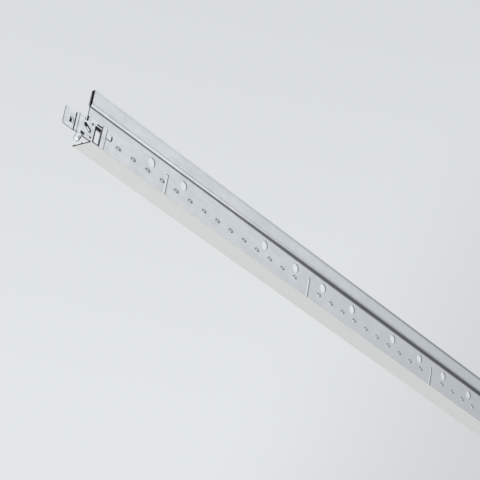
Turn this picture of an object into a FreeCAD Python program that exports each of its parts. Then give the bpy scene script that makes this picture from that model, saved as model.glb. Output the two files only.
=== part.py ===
import FreeCAD, Part
import math
import os

os.makedirs("parts", exist_ok=True)

# Ceiling grid main tee: a slim roll-formed T with a hollow bulb on top, a double web
# and a narrow flange below. Millimetres, +Z up. The origin is at mid-length, under
# the middle of the visible face, and X runs along the stock. Sizes that end in _x are
# measured from the tee's left end, inwards.

# Stock
slot_pitch = 152.4              # from one cross-tee slot to the next
slot_count = 24
tee_height = 38.0
flange_width = 15.0

# Strip
strip_gauge = 0.40              # galvanised strip of the body
cap_gauge = 0.30                # painted strip of the visible face
root_radius = 0.6               # bend where the web turns into the flange
strip_edge_radius = 0.15

# Bulb
bulb_width = 3.0
bulb_shoulder_z = 28.3          # where the upright side of the bulb begins
bulb_neck_z = 25.4              # where the slope under the bulb meets the web
bulb_top_radius = 0.6
bulb_shoulder_radius = 0.8
neck_radius = 0.6

# Face cap
cap_return = 2.2                # how far the cap's hem lies over the flange
cap_edge_radius = 0.35

# Cross-tee slots
slot_width = 2.2
slot_bottom_z = 4.2
slot_top_z = 19.7
slot_corner = 0.5               # clipped corners of the punch

# Hanger holes, two on each side of a slot, only the inner two at the first and last slot
hanger_hole_diameter = 6.4
hanger_hole_z = 19.7
hanger_inner_offset = 15.875
hanger_outer_offset = 50.8
hanger_hole_sides = 16          # of the holes that only repeat the round ones
round_hole_slots = (1, 5, 9, 16, 20, 24)

# Splice clip at each end
clip_gauge = 0.50
clip_rear_x = 17.9
clip_bottom_z = 5.0             # over the notch at the tee's end
clip_heel_z = 2.4               # further in
clip_top_z = 20.2
clip_corner_radius = 0.8
shoulder_reach = 2.0            # where the top edge drops, beyond the tee's end
tongue_reach = 19.9             # beyond the tee's end
tongue_bottom_z = 4.1
tongue_top_z = 16.5
tongue_step = 0.5               # the tongue is set out, to slide past the next web
tongue_lead = 0.8               # clipped front corners
step_near = 7.3                 # the step's two bends, beyond the tee's end
step_far = 10.2
step_top_z = 18.0

# Rounded ear on the clip's rear edge
ear_length = 5.4
ear_height = 4.4
ear_drop = 2.2                  # from the clip's top to the ear's
ear_radius = 1.8

# Window near each end, for the lance of the next tee
window_x = 8.6
window_width = 4.5
window_bottom_z = 6.5
window_top_z = 15.0
window_radius = 0.5
rim_front = 1.2                 # the clip's own window is coined: its outer side is wider by
rim_rear = 0.2                  # these four
rim_below = 1.6
rim_above = 1.9
rim_radius = 0.8
rim_gap = 0.1                   # by which the coined window clears the web's window

# Slit above the window and up along its inner side, which leaves a catch bar
catch_bar_height = 0.8
catch_length = 5.0
catch_slit_height = 1.0
catch_side_width = 0.7
catch_side_height = 1.0         # above the slit

# Spring lance in the tongue
lance_tip = 11.9                # free end, beyond the tee's end
lance_length = 3.0
lance_height = 2.8
lance_z = 9.4                   # middle of the lance
lance_rise = 1.1                # how far the free end stands off the tongue
lance_gap = 0.35

# Aligning foot below the tongue, bent to the far side, and the notch that takes the next one
foot_near = 1.5                 # its two ends, beyond the tee's end
foot_far = 6.4
foot_bend_z = 4.8
foot_tip_y = 1.55
foot_tip_z = 1.3
foot_notch_gap = 0.4            # past the far end of the foot
foot_notch_bottom_z = 1.5

# Dished marks in the clip's outer side
dish_depth = 0.35
dish_draft = 0.3
bead_x = 1.0                    # slanting bead across the end of the web
bead_z = 12.3
bead_length = 7.4
bead_width = 2.2
bead_slant = 30.0               # degrees
stop_reach = 1.5                # stop dimple, beyond the tee's end
stop_z = 6.9
stop_length = 2.7
stop_width = 2.2
clinch_x = 4.7                  # two clinches that hold the clip on the web
clinch_low_z = 7.3
clinch_high_z = 16.4
clinch_length = 1.9
clinch_width = 1.7

# Relief slit where the clip passes the end of the web
relief_reach = 1.2              # its middle, beyond the tee's end
relief_width = 1.2
relief_bottom_z = 16.4

stock_length = slot_pitch * slot_count
half_length = stock_length / 2
half_web = strip_gauge
half_bulb = bulb_width / 2
flange_low_z = cap_gauge
flange_high_z = cap_gauge + strip_gauge
half_strip_flange = flange_width / 2 - cap_gauge
foot_notch_x = foot_far + foot_notch_gap
rim_x = window_x - rim_front
rim_end_x = window_x + window_width + rim_rear
rim_top_z = window_top_z + rim_above
catch_slit_z = rim_top_z + catch_bar_height
catch_slit_top_z = catch_slit_z + catch_slit_height
ear_x = clip_rear_x + ear_length
ear_top_z = clip_top_z - ear_drop
ear_bottom_z = ear_top_z - ear_height
clip_inner_y = -half_web
clip_outer_y = -half_web - clip_gauge
through = flange_width          # long enough to cut right through the web or the clip
Y_AXIS = FreeCAD.Vector(0, 1, 0)
Z_AXIS = FreeCAD.Vector(0, 0, 1)
CENTRE = FreeCAD.Vector(0, 0, 0)


def rounded_wire(corners):
    """Closed wire through (point, radius) corners, each corner rounded by its radius."""
    count = len(corners)
    starts = []
    middles = []
    ends = []
    for i in range(count):
        point, radius = corners[i]
        to_before = corners[i - 1][0].sub(point).normalize()
        to_after = corners[(i + 1) % count][0].sub(point).normalize()
        half_angle = to_before.getAngle(to_after) / 2
        reach = radius / math.tan(half_angle)
        starts.append(point.add(FreeCAD.Vector(to_before).multiply(reach)))
        ends.append(point.add(FreeCAD.Vector(to_after).multiply(reach)))
        to_centre = to_before.add(to_after).normalize()
        depth = radius / math.sin(half_angle) - radius
        middles.append(point.add(to_centre.multiply(depth)))
    edges = []
    for i in range(count):
        if corners[i][1] > 0:
            edges.append(Part.Arc(starts[i], middles[i], ends[i]).toShape())
        edges.append(Part.makeLine(ends[i], starts[(i + 1) % count]))
    return Part.Wire(edges)


def symmetric_section(half):
    """Face in the YZ plane from the (y, z, radius) corners of its right half."""
    right = [(FreeCAD.Vector(0, y, z), r) for y, z, r in half]
    left = [(FreeCAD.Vector(0, -y, z), r) for y, z, r in reversed(half) if y > 0]
    return Part.Face(rounded_wire(right + left))


def along_stock(section):
    """The section, extruded over the whole length of the stock."""
    section.translate(FreeCAD.Vector(-half_length, 0, 0))
    return section.extrude(FreeCAD.Vector(stock_length, 0, 0))


def punch(points):
    """Tool through the web or the clip, from an outline of (x, z, radius) corners."""
    corners = [(FreeCAD.Vector(x, -through / 2, z), r) for x, z, r in points]
    return Part.Face(rounded_wire(corners)).extrude(FreeCAD.Vector(0, through, 0))


def upright_box(x_low, x_high, z_low, z_high, radius):
    """Corners of an upright rectangle for a punch, all with one radius."""
    corners = [(x_low, z_low), (x_high, z_low), (x_high, z_high), (x_low, z_high)]
    return [(x, z, radius) for x, z in corners]


def slot_punch(x):
    """Tool for one cross-tee slot, with clipped corners."""
    side = slot_width / 2
    inner = side - slot_corner
    points = [
        (x - inner, slot_bottom_z),
        (x + inner, slot_bottom_z),
        (x + side, slot_bottom_z + slot_corner),
        (x + side, slot_top_z - slot_corner),
        (x + inner, slot_top_z),
        (x - inner, slot_top_z),
        (x - side, slot_top_z - slot_corner),
        (x - side, slot_bottom_z + slot_corner),
    ]
    return punch([(px, pz, 0) for px, pz in points])


def hole_punch(x, is_round):
    """Tool for one hanger hole: round, or of the same area with a few sides."""
    radius = hanger_hole_diameter / 2
    if is_round:
        start = FreeCAD.Vector(x, -through / 2, hanger_hole_z)
        return Part.makeCylinder(radius, through, start, Y_AXIS)
    step = 2 * math.pi / hanger_hole_sides
    reach = radius * math.sqrt(step / math.sin(step))
    turns = [step * (i + 0.5) for i in range(hanger_hole_sides)]
    return punch([(x + reach * math.cos(a), hanger_hole_z + reach * math.sin(a), 0) for a in turns])


def at_left_end(shape):
    """The shape moved from the end's own coordinates to the left end of the tee."""
    shape.translate(FreeCAD.Vector(-half_length, 0, 0))
    return shape


def turned(shape):
    """The same shape at the other end: half a turn about Z."""
    copy = shape.copy()
    copy.rotate(CENTRE, Z_AXIS, 180)
    return copy


def bulb_cavity():
    """The hollow of the bulb, one gauge inside its outline."""
    slope = math.atan2(bulb_shoulder_z - bulb_neck_z, half_bulb - half_web)
    half_width = half_bulb - strip_gauge
    shoulder_z = bulb_shoulder_z + strip_gauge * math.tan((math.pi / 2 - slope) / 2)
    floor_z = shoulder_z - half_width * math.tan(slope)
    return symmetric_section([
        (0, floor_z, 0),
        (half_width, shoulder_z, bulb_shoulder_radius - strip_gauge),
        (half_width, tee_height - strip_gauge, bulb_top_radius - strip_gauge),
    ])


def tee_body():
    """One strip folded into flange, web, bulb, web and flange, with its web punched."""
    outline = symmetric_section([
        (half_strip_flange, flange_low_z, strip_edge_radius),
        (half_strip_flange, flange_high_z, strip_edge_radius),
        (half_web, flange_high_z, root_radius),
        (half_web, bulb_neck_z, neck_radius),
        (half_bulb, bulb_shoulder_z, bulb_shoulder_radius),
        (half_bulb, tee_height, bulb_top_radius),
    ])
    body = along_stock(outline.cut(bulb_cavity()))
    punches = []
    for number in range(1, slot_count + 1):
        slot_x = -half_length + slot_pitch * (number - 0.5)
        punches.append(slot_punch(slot_x))
        for offset in (-hanger_inner_offset, hanger_inner_offset):
            punches.append(hole_punch(slot_x + offset, number in round_hole_slots))
        if 1 < number < slot_count:
            punches.append(hole_punch(slot_x - hanger_outer_offset, False))
            punches.append(hole_punch(slot_x + hanger_outer_offset, False))
    window = upright_box(window_x, window_x + window_width, window_bottom_z, window_top_z, window_radius)
    notch = upright_box(-foot_notch_x, foot_notch_x, foot_notch_bottom_z, clip_bottom_z, window_radius)
    for outline_points in (window, notch):
        tool = at_left_end(punch(outline_points))
        punches.append(tool)
        punches.append(turned(tool))
    return body.cut(Part.makeCompound(punches)).Solids[0]


def face_cap():
    """A painted strip under the flange, hemmed over both of its edges."""
    hem_inner_y = flange_width / 2 - cap_return
    hem_top_z = flange_high_z + cap_gauge
    return along_stock(symmetric_section([
        (flange_width / 2, 0, cap_edge_radius),
        (flange_width / 2, hem_top_z, cap_edge_radius),
        (hem_inner_y, hem_top_z, strip_edge_radius),
        (hem_inner_y, flange_high_z, 0),
        (half_strip_flange, flange_high_z, strip_edge_radius),
        (half_strip_flange, flange_low_z, strip_edge_radius),
    ]))


def prism(points, direction):
    """Solid from a polygon of points, extruded along a direction."""
    return Part.Face(Part.makePolygon(points + [points[0]])).extrude(direction)


def coined_window():
    """Tool for the clip's window, which narrows from its coined rim to the web's own window."""
    rim = upright_box(rim_x, rim_end_x, window_bottom_z - rim_below, rim_top_z, rim_radius)
    inner = upright_box(
        window_x - rim_gap,
        window_x + window_width + rim_gap,
        window_bottom_z - rim_gap,
        window_top_z + rim_gap,
        window_radius,
    )
    outlines = []
    for y, points in ((clip_outer_y, rim), (clip_inner_y, inner)):
        outlines.append(rounded_wire([(FreeCAD.Vector(x, y, z), r) for x, z, r in points]))
    return Part.makeLoft(outlines, True, True)


def clip_plate():
    """The stepped plate of the clip, with its outline, coined window, slits and lance opening."""
    inner = [
        (ear_x, clip_inner_y),
        (-step_near, clip_inner_y),
        (-step_far, clip_inner_y - tongue_step),
        (-tongue_reach, clip_inner_y - tongue_step),
    ]
    outer = [(x, y - clip_gauge) for x, y in reversed(inner)]
    plan = [FreeCAD.Vector(x, y, 0) for x, y in inner + outer]
    strip = prism(plan, FreeCAD.Vector(0, 0, tee_height))
    outline = [
        (foot_notch_x, clip_bottom_z, 0),
        (foot_notch_x, clip_heel_z, clip_corner_radius),
        (clip_rear_x, clip_heel_z, clip_corner_radius),
        (clip_rear_x, ear_bottom_z, 0),
        (ear_x, ear_bottom_z, ear_radius),
        (ear_x, ear_top_z, ear_radius),
        (clip_rear_x, ear_top_z, 0),
        (clip_rear_x, clip_top_z, clip_corner_radius),
        (0, clip_top_z, clip_corner_radius),
        (-shoulder_reach, step_top_z, clip_corner_radius),
        (-step_near, step_top_z, clip_corner_radius),
        (-step_far, tongue_top_z, clip_corner_radius),
        (-tongue_reach + tongue_lead, tongue_top_z, 0),
        (-tongue_reach, tongue_top_z - tongue_lead, 0),
        (-tongue_reach, tongue_bottom_z + tongue_lead, 0),
        (-tongue_reach + tongue_lead, tongue_bottom_z, 0),
        (-step_far, tongue_bottom_z, 0),
        (-step_near, clip_bottom_z, 0),
    ]
    plate = strip.common(punch(outline))
    side_x = rim_end_x - catch_side_width
    side_top_z = catch_slit_top_z + catch_side_height
    relief_x = -relief_reach - relief_width / 2
    cuts = [
        upright_box(rim_end_x - catch_length, rim_end_x, catch_slit_z, catch_slit_top_z, 0),
        upright_box(side_x, rim_end_x, window_top_z, side_top_z, 0),
        upright_box(relief_x, relief_x + relief_width, relief_bottom_z, tee_height, 0),
        upright_box(
            -lance_tip - lance_length,
            -lance_tip + lance_gap,
            lance_z - lance_height / 2 - lance_gap,
            lance_z + lance_height / 2 + lance_gap,
            0,
        ),
    ]
    return plate.cut([coined_window()] + [punch(points) for points in cuts])


def clip_lance():
    """The spring lance: its root in the tongue, its free end standing off towards the web."""
    tongue_y = clip_inner_y - tongue_step
    root = -lance_tip - lance_length
    inner = [
        (root - lance_gap, tongue_y),
        (root + lance_gap, tongue_y),
        (-lance_tip, tongue_y + lance_rise),
    ]
    outer = [(x, y - clip_gauge) for x, y in reversed(inner)]
    low_z = lance_z - lance_height / 2
    plan = [FreeCAD.Vector(x, y, low_z) for x, y in inner + outer]
    return prism(plan, FreeCAD.Vector(0, 0, lance_height))


def clip_foot():
    """The aligning foot: a flap under the tongue, bent to the far side of the web."""
    run_y = foot_tip_y - clip_outer_y
    drop_z = foot_bend_z - foot_tip_z
    run = math.hypot(run_y, drop_z)
    across_y = clip_gauge * drop_z / run
    across_z = clip_gauge * run_y / run
    bend_top_z = clip_bottom_z + clip_gauge
    profile = [
        (clip_inner_y, bend_top_z),
        (clip_outer_y, bend_top_z),
        (clip_outer_y, foot_bend_z),
        (foot_tip_y, foot_tip_z),
        (foot_tip_y + across_y, foot_tip_z + across_z),
        (clip_inner_y, foot_bend_z + across_z),
    ]
    points = [FreeCAD.Vector(-foot_far, y, z) for y, z in profile]
    return prism(points, FreeCAD.Vector(foot_far - foot_near, 0, 0))


def dish(x, z, length, width, slant):
    """Tool for one dished mark in the clip's outer side: a round or long seat with sloped walls."""
    half_run = (length - width) / 2
    outlines = []
    for depth, shrink in ((0, 0), (dish_depth, dish_draft)):
        radius = width / 2 - shrink
        left = FreeCAD.Vector(-half_run, depth, 0)
        right = FreeCAD.Vector(half_run, depth, 0)
        up = FreeCAD.Vector(0, 0, radius)
        side = FreeCAD.Vector(radius, 0, 0)
        outlines.append(Part.Wire([
            Part.makeLine(left.add(up), right.add(up)),
            Part.Arc(right.add(up), right.add(side), right.sub(up)).toShape(),
            Part.makeLine(right.sub(up), left.sub(up)),
            Part.Arc(left.sub(up), left.sub(side), left.add(up)).toShape(),
        ]))
    tool = Part.makeLoft(outlines, True, True)
    tool.rotate(CENTRE, Y_AXIS, slant)
    tool.translate(FreeCAD.Vector(x, clip_outer_y, z))
    return tool


def splice_clip():
    """The clip at the left end, clinched to the near side of the web."""
    clip = clip_plate().fuse([clip_lance(), clip_foot()]).removeSplitter()
    marks = [
        dish(bead_x, bead_z, bead_length, bead_width, bead_slant),
        dish(-stop_reach, stop_z, stop_length, stop_width, 0),
        dish(clinch_x, clinch_low_z, clinch_length, clinch_width, 0),
        dish(clinch_x, clinch_high_z, clinch_length, clinch_width, 0),
    ]
    return at_left_end(clip.cut(marks).Solids[0])


clip = splice_clip()
pieces = {
    "tee_body": tee_body(),
    "face_cap": face_cap(),
    "splice_clip_left": clip,
    "splice_clip_right": turned(clip),
}
for name, shape in pieces.items():
    if not shape.isValid() or len(shape.Solids) != 1:
        raise ValueError(name + " is not one valid solid")
    shape.exportStep("parts/" + name + ".step")
    print(name, round(shape.Volume, 2), shape.BoundBox)
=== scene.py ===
"""Ceiling grid main tee: the visual pieces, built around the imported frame."""

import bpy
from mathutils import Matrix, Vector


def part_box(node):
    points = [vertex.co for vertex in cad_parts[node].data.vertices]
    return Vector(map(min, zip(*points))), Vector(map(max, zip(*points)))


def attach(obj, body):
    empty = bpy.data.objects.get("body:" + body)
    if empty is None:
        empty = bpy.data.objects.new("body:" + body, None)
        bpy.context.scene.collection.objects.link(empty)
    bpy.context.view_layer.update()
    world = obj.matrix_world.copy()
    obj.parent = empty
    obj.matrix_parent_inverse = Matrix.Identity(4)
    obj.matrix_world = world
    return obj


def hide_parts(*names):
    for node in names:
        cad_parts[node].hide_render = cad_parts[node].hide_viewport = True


bl_info = {
    "name": "Ceiling grid main tee",
    "version": (1, 0, 0),
    "blender": (4, 5, 0),
    "location": "3D View > Sidebar > Main tee",
    "description": "Makes the folded strip, the painted face and the splice clips of a main tee",
    "category": "Object",
}

import math

import bmesh
import bpy
from bpy.props import FloatProperty, FloatVectorProperty, IntProperty, PointerProperty
from mathutils import Matrix, Vector
from mathutils.geometry import tessellate_polygon

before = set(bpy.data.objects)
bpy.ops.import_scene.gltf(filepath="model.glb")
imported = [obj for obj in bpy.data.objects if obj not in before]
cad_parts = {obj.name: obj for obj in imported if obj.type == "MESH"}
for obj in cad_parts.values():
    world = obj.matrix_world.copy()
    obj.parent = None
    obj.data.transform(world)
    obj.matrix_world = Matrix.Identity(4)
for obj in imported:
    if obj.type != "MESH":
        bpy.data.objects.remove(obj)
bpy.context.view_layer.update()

MM = 0.001
STRIP_LOW, STRIP_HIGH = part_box("tee_body")
CAP_LOW, CAP_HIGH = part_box("face_cap")
WELD = 2e-6                     # metres; joins the seams of one piece and no finer detail
ARC_STEPS = 6                   # facets in a bend of the folded strips
CLIP_ARC_STEPS = 4              # facets in a corner of the clip


def from_hex(text):
    """Linear colour from an sRGB hex value."""
    levels = [int(text[i:i + 2], 16) / 255 for i in (1, 3, 5)]
    return [v / 12.92 if v <= 0.04045 else ((v + 0.055) / 1.055) ** 2.4 for v in levels]


def length(name, description, millimetres):
    """A length that a user may change, given in millimetres and kept in metres."""
    return FloatProperty(
        name=name,
        description=description,
        default=millimetres * MM,
        precision=5,
        subtype="DISTANCE",
        unit="LENGTH",
    )


def colour(name, description, text):
    """A colour that a user may change, given as an sRGB hex value."""
    return FloatVectorProperty(
        name=name,
        description=description,
        default=from_hex(text),
        size=3,
        min=0,
        max=1,
        subtype="COLOR",
    )


class StripSizes(bpy.types.PropertyGroup):
    """Section of the folded strip and of its painted face."""

    stock_length: length("Stock length", "Cut length of the tee", (STRIP_HIGH.x - STRIP_LOW.x) / MM)
    height: length("Height", "From the painted face to the top of the bulb", STRIP_HIGH.z / MM)
    flange: length("Face width", "Width of the painted face", (CAP_HIGH.y - CAP_LOW.y) / MM)
    gauge: length("Strip gauge", "Thickness of the galvanised strip", 0.40)
    root_radius: length("Root radius", "Bend where the web turns into the flange", 0.6)
    bulb_width: length("Bulb width", "Outside width of the bulb", 3.0)
    shoulder_z: length("Shoulder height", "Where the upright side of the bulb begins", 28.3)
    neck_z: length("Neck height", "Where the slope under the bulb meets the web", 25.4)
    bulb_top_radius: length("Bulb top radius", "Bend at the top corners of the bulb", 0.6)
    shoulder_radius: length("Shoulder radius", "Bend at the lower corners of the bulb", 0.8)
    neck_radius: length("Neck radius", "Bend where the bulb meets the web", 0.6)
    cap_gauge: length("Face gauge", "Thickness of the painted strip", 0.30)
    cap_return: length("Hem", "How far the painted hem lies over the flange", 2.2)
    cap_edge_radius: length("Face edge radius", "Bend at the edges of the painted face", 0.35)


class PunchSizes(bpy.types.PropertyGroup):
    """Slots, holes, windows and lock stitches of the web."""

    slot_pitch: length("Slot pitch", "From one cross-tee slot to the next", 152.4)
    slot_count: IntProperty(name="Slots", description="Number of cross-tee slots", default=24, min=1)
    slot_width: length("Slot width", "Width of a cross-tee slot", 2.2)
    slot_bottom_z: length("Slot bottom", "Lower end of a slot", 4.2)
    slot_top_z: length("Slot top", "Upper end of a slot", 19.7)
    slot_corner: length("Slot corner", "Corner radius of a slot", 0.7)
    hole_diameter: length("Hanger hole", "Diameter of a hanger hole", 6.4)
    hole_z: length("Hole height", "Height of the hanger holes", 19.7)
    hole_inner: length("Inner holes", "From a slot to the holes beside it", 15.875)
    hole_outer: length("Outer holes", "From a slot to the holes further out", 50.8)
    window_x: length("Window", "From the tee's end to the splice window", 8.6)
    window_width: length("Window width", "Width of the splice window", 4.5)
    window_bottom_z: length("Window bottom", "Lower end of the splice window", 6.5)
    window_top_z: length("Window top", "Upper end of the splice window", 15.0)
    window_corner: length("Window corner", "Corner radius of the splice window", 0.5)
    notch_x: length("Notch", "Depth of the notch in the tee's end", 6.8)
    notch_bottom_z: length("Notch bottom", "Lower side of the notch", 1.5)
    notch_top_z: length("Notch top", "Upper side of the notch", 5.0)
    stitch_pitch: length("Stitch pitch", "From one lock stitch to the next", 14.09)
    stitch_first_x: length("First stitch", "From the tee's end to the first stitch", 30.0)
    stitch_z: length("Stitch height", "Height of the row of stitches", 13.1)
    stitch_length: length("Stitch length", "Length of a lock stitch along the web", 5.4)
    stitch_width: length("Stitch width", "Width of a lock stitch", 3.2)
    stitch_margin: length("Stitch margin", "Least room between a stitch and a slot", 0.1)
    stitch_lip: length("Stitch lip", "Height of the rolled lip round a stitch", 0.15)
    stitch_depth: length("Stitch depth", "Depth of a stitch below its lip", 0.45)
    stitch_button: length("Stitch button", "How far a stitch stands off the far side", 0.45)


class ClipSizes(bpy.types.PropertyGroup):
    """The spring steel splice clip; x runs from the tee's end inwards."""

    gauge: length("Clip gauge", "Thickness of the clip", 0.50)
    edge_draft: length("Edge draft", "How far the die has rolled in the front of an edge", 0.3)
    # The band along the rear edges and the one round the ear's tip are painted shadow
    edge_shade_band: length("Torn edge", "Width of the bare band along the rear edges", 0.6)
    tip_shade_band: length("Torn tip", "Width of the bare band round the ear's tip", 1.3)
    rear_x: length("Rear edge", "How far the clip reaches over the web", 17.9)
    bottom_z: length("Bottom", "Lower edge at the tee's end", 5.0)
    heel_z: length("Heel", "Lower edge further in", 2.4)
    top_z: length("Top", "Upper edge", 20.2)
    corner: length("Corner", "Radius of the clip's corners", 0.8)
    small_corner: length("Small corner", "Radius of the tongue's corners", 0.4)
    inner_corner: length("Inner corner", "Radius of the corners that turn in", 0.15)
    tongue_reach: length("Tongue reach", "How far the tongue stands out of the tee", 19.9)
    tongue_bottom_z: length("Tongue bottom", "Lower edge of the tongue", 4.1)
    tongue_top_z: length("Tongue top", "Upper edge of the tongue", 16.5)
    tongue_lead: length("Tongue lead", "Clipped front corners of the tongue", 0.8)
    step: length("Step", "How far the tongue is set out", 0.5)
    step_near: length("Step start", "First bend of the step, beyond the tee's end", 7.3)
    step_far: length("Step end", "Second bend of the step, beyond the tee's end", 10.2)
    step_top_z: length("Step top", "Upper edge before the step", 18.0)
    score_near: length("Near score", "Width of the scored line along the first bend of the step", 0.7)
    score_far: length("Far score", "Width of the scored line along the second bend", 1.2)
    score_depth: length("Score depth", "Depth of the scored lines", 0.12)
    ear_length: length("Ear length", "How far the ear stands out of the rear edge", 5.4)
    ear_height: length("Ear height", "Height of the ear", 4.4)
    ear_drop: length("Ear drop", "From the clip's top to the ear's", 2.2)
    ear_radius: length("Ear radius", "Radius of the ear's corners", 1.8)
    rim_front: length("Rim front", "Coined rim of the window, towards the tee's end", 1.6)
    rim_rear: length("Rim rear", "Coined rim of the window, on its other side", 0.4)
    rim_below: length("Rim below", "Coined rim under the window", 1.6)
    rim_above: length("Rim above", "Coined rim over the window", 1.9)
    rim_corner: length("Rim corner", "Corner radius of the coined rim", 0.6)
    rim_gap: length("Rim gap", "By how much the coined window clears the web's", 0.1)
    catch_bar: length("Catch bar", "Height of the bar over the window", 0.8)
    catch_length: length("Catch length", "Length of the catch bar", 5.0)
    slit_height: length("Slit height", "Height of the slit over the catch bar", 1.0)
    side_width: length("Side slit", "Width of the slit at the bar's free end", 0.7)
    side_height: length("Side slit height", "How far the side slit runs on above the bar's slit", 1.0)
    lance_tip: length("Lance tip", "Free end of the spring lance, beyond the tee's end", 11.9)
    lance_length: length("Lance length", "Length of the spring lance", 3.0)
    lance_height: length("Lance height", "Width of the spring lance", 2.8)
    lance_z: length("Lance middle", "Height of the lance's middle", 9.4)
    lance_rise: length("Lance rise", "How far the free end stands off the tongue", 1.1)
    lance_gap: length("Lance gap", "Slit round the lance", 0.35)
    foot_near: length("Foot start", "Inner end of the aligning foot, beyond the tee's end", 1.5)
    foot_far: length("Foot end", "Outer end of the aligning foot, beyond the tee's end", 6.4)
    foot_bend_z: length("Foot bend", "Where the foot is bent to the far side", 4.8)
    foot_length: length("Foot length", "Length of the foot below its bend", 4.2)
    foot_radius: length("Foot radius", "Bend radius of the foot", 0.8)
    foot_angle: FloatProperty(
        name="Foot angle",
        description="How far the foot is bent out of the clip's plane",
        default=math.radians(34),
        subtype="ANGLE",
        unit="ROTATION",
    )
    bead_x: length("Bead", "From the tee's end to the middle of the slanting bead", 1.0)
    bead_z: length("Bead height", "Height of the bead's middle", 12.3)
    bead_length: length("Bead length", "Length of the bead", 7.4)
    bead_width: length("Bead width", "Width of the bead", 2.8)
    bead_floor_shift: length("Bead floor", "How far the bead's flat floor lies off its middle", 1.1)
    bead_floor_length: length("Bead floor length", "Length of the bead's flat floor", 3.6)
    bead_floor_width: length("Bead floor width", "Width of the bead's flat floor", 1.3)
    bead_slant: FloatProperty(
        name="Bead slant",
        description="How far the bead leans from level",
        default=math.radians(30),
        subtype="ANGLE",
        unit="ROTATION",
    )
    stop_reach: length("Stop dimple", "Middle of the stop dimple, beyond the tee's end", 2.1)
    stop_z: length("Stop height", "Height of the stop dimple", 6.8)
    stop_length: length("Stop length", "Length of the stop dimple", 3.8)
    stop_width: length("Stop width", "Width of the stop dimple", 2.2)
    clinch_x: length("Clinch", "From the tee's end to the clinches", 4.7)
    clinch_low_z: length("Low clinch", "Height of the lower clinch", 7.3)
    clinch_high_z: length("High clinch", "Height of the upper clinch", 16.4)
    clinch_length: length("Clinch length", "Length of a clinch", 1.9)
    clinch_width: length("Clinch width", "Width of a clinch", 1.7)
    dish_depth: length("Dish depth", "Depth of the bead, the dimple and the clinches", 0.35)
    dish_draft: length("Dish draft", "How far the walls of these slope in", 0.4)
    relief_reach: length("Relief", "Middle of the slit where the clip passes the web's end", 0.8)
    relief_width: length("Relief width", "Width of the relief slit", 1.6)
    gap_top_z: length("Gap top", "Up to where the web's layers stand open beside the clip", 20.4)
    relief_bottom_z: length("Relief bottom", "Lower end of the relief slit", 16.4)


class Finishes(bpy.types.PropertyGroup):
    """Colours of the finishes."""

    zinc_light: colour("Light zinc", "Galvanised strip where it is bright", "#edeff3")
    zinc_dark: colour("Dull zinc", "Galvanised strip where it is dull", "#e2e5ea")
    # This colour is painted shade, laid in the bends of the bulb, in the stitches and on the web's end
    # beside the clips
    crease_shade: colour("Crease", "Crazed zinc and forming oil in bends and stitches", "#26292d")
    wiped: colour("Wiped edge", "Punched walls, over which the punch has wiped some zinc", "#94979c")
    # The sheared end is drawn darker than bare steel: bare steel with painted shade along the cut ends
    sheared: colour("Sheared end", "Bare steel where the stock is cut to length", "#4b4d52")
    mouth: colour("Mouth", "Matt zinc at the bulb's open ends", "#e4e6e9")
    # This colour is painted shade inside the bulb, behind its mouth and under its top
    inside: colour("Inside", "Oily zinc further inside the bulb", "#1d1f22")
    enamel: colour("Enamel", "White coating of the visible face", "#f0f0ee")
    enamel_shade: colour("Enamel shade", "The coating where it is thinner", "#e9e9e7")
    plating_light: colour("Bright plating", "Zinc plating of the clips where it is bright", "#eceef1")
    plating_dark: colour("Dull plating", "Zinc plating of the clips where it is dull", "#d6dae0")
    # The spring colour is both bare steel where the plating is worn and painted shade on the clip's edges
    # and marks
    spring: colour("Spring steel", "Steel of the clips where the plating is gone", "#2b2d31")


class StageSizes(bpy.types.PropertyGroup):
    """Floor and camera."""

    floor_drop: length("Floor drop", "How far the floor lies under the tee, seen from below", 1200)
    floor_size: length("Floor size", "Side of the floor", 120000)
    floor: colour("Floor", "Colour of the floor", "#eceded")
    lens: FloatProperty(
        name="Lens",
        description="Focal length of the camera",
        default=150.2127,
        min=1,
        subtype="DISTANCE_CAMERA",
        unit="CAMERA",
    )
    camera_place: FloatVectorProperty(
        name="Camera place",
        description="Where the camera stands, below the tee and beyond its left end",
        default=(-2.540299, -0.794064, -0.556640),
        precision=5,
        subtype="TRANSLATION",
        unit="LENGTH",
    )
    camera_turn: FloatVectorProperty(
        name="Camera turn",
        description="How the camera is turned about X, Y and Z",
        default=[math.radians(angle) for angle in (116.21833, -9.53423, -52.11016)],
        precision=5,
        subtype="EULER",
        unit="ROTATION",
    )


def add_node(tree, kind, inputs=None, **settings):
    """Adds a node with its settings and links.

    An input takes a value, a socket, a node, which stands for its first output, or a list of these.
    """
    node = tree.nodes.new(kind)
    for name, value in settings.items():
        setattr(node, name, value)
    for key, value in (inputs or {}).items():
        for source in value if isinstance(value, list) else [value]:
            if isinstance(source, bpy.types.Node):
                source = next(socket for socket in source.outputs if socket.enabled)
            if isinstance(source, bpy.types.NodeSocket):
                tree.links.new(source, node.inputs[key])
            else:
                node.inputs[key].default_value = source
    return node


def new_finish(name):
    """An empty material with its node tree."""
    material = bpy.data.materials.new(name)
    material.use_nodes = True
    material.node_tree.nodes.clear()
    return material, material.node_tree


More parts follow.
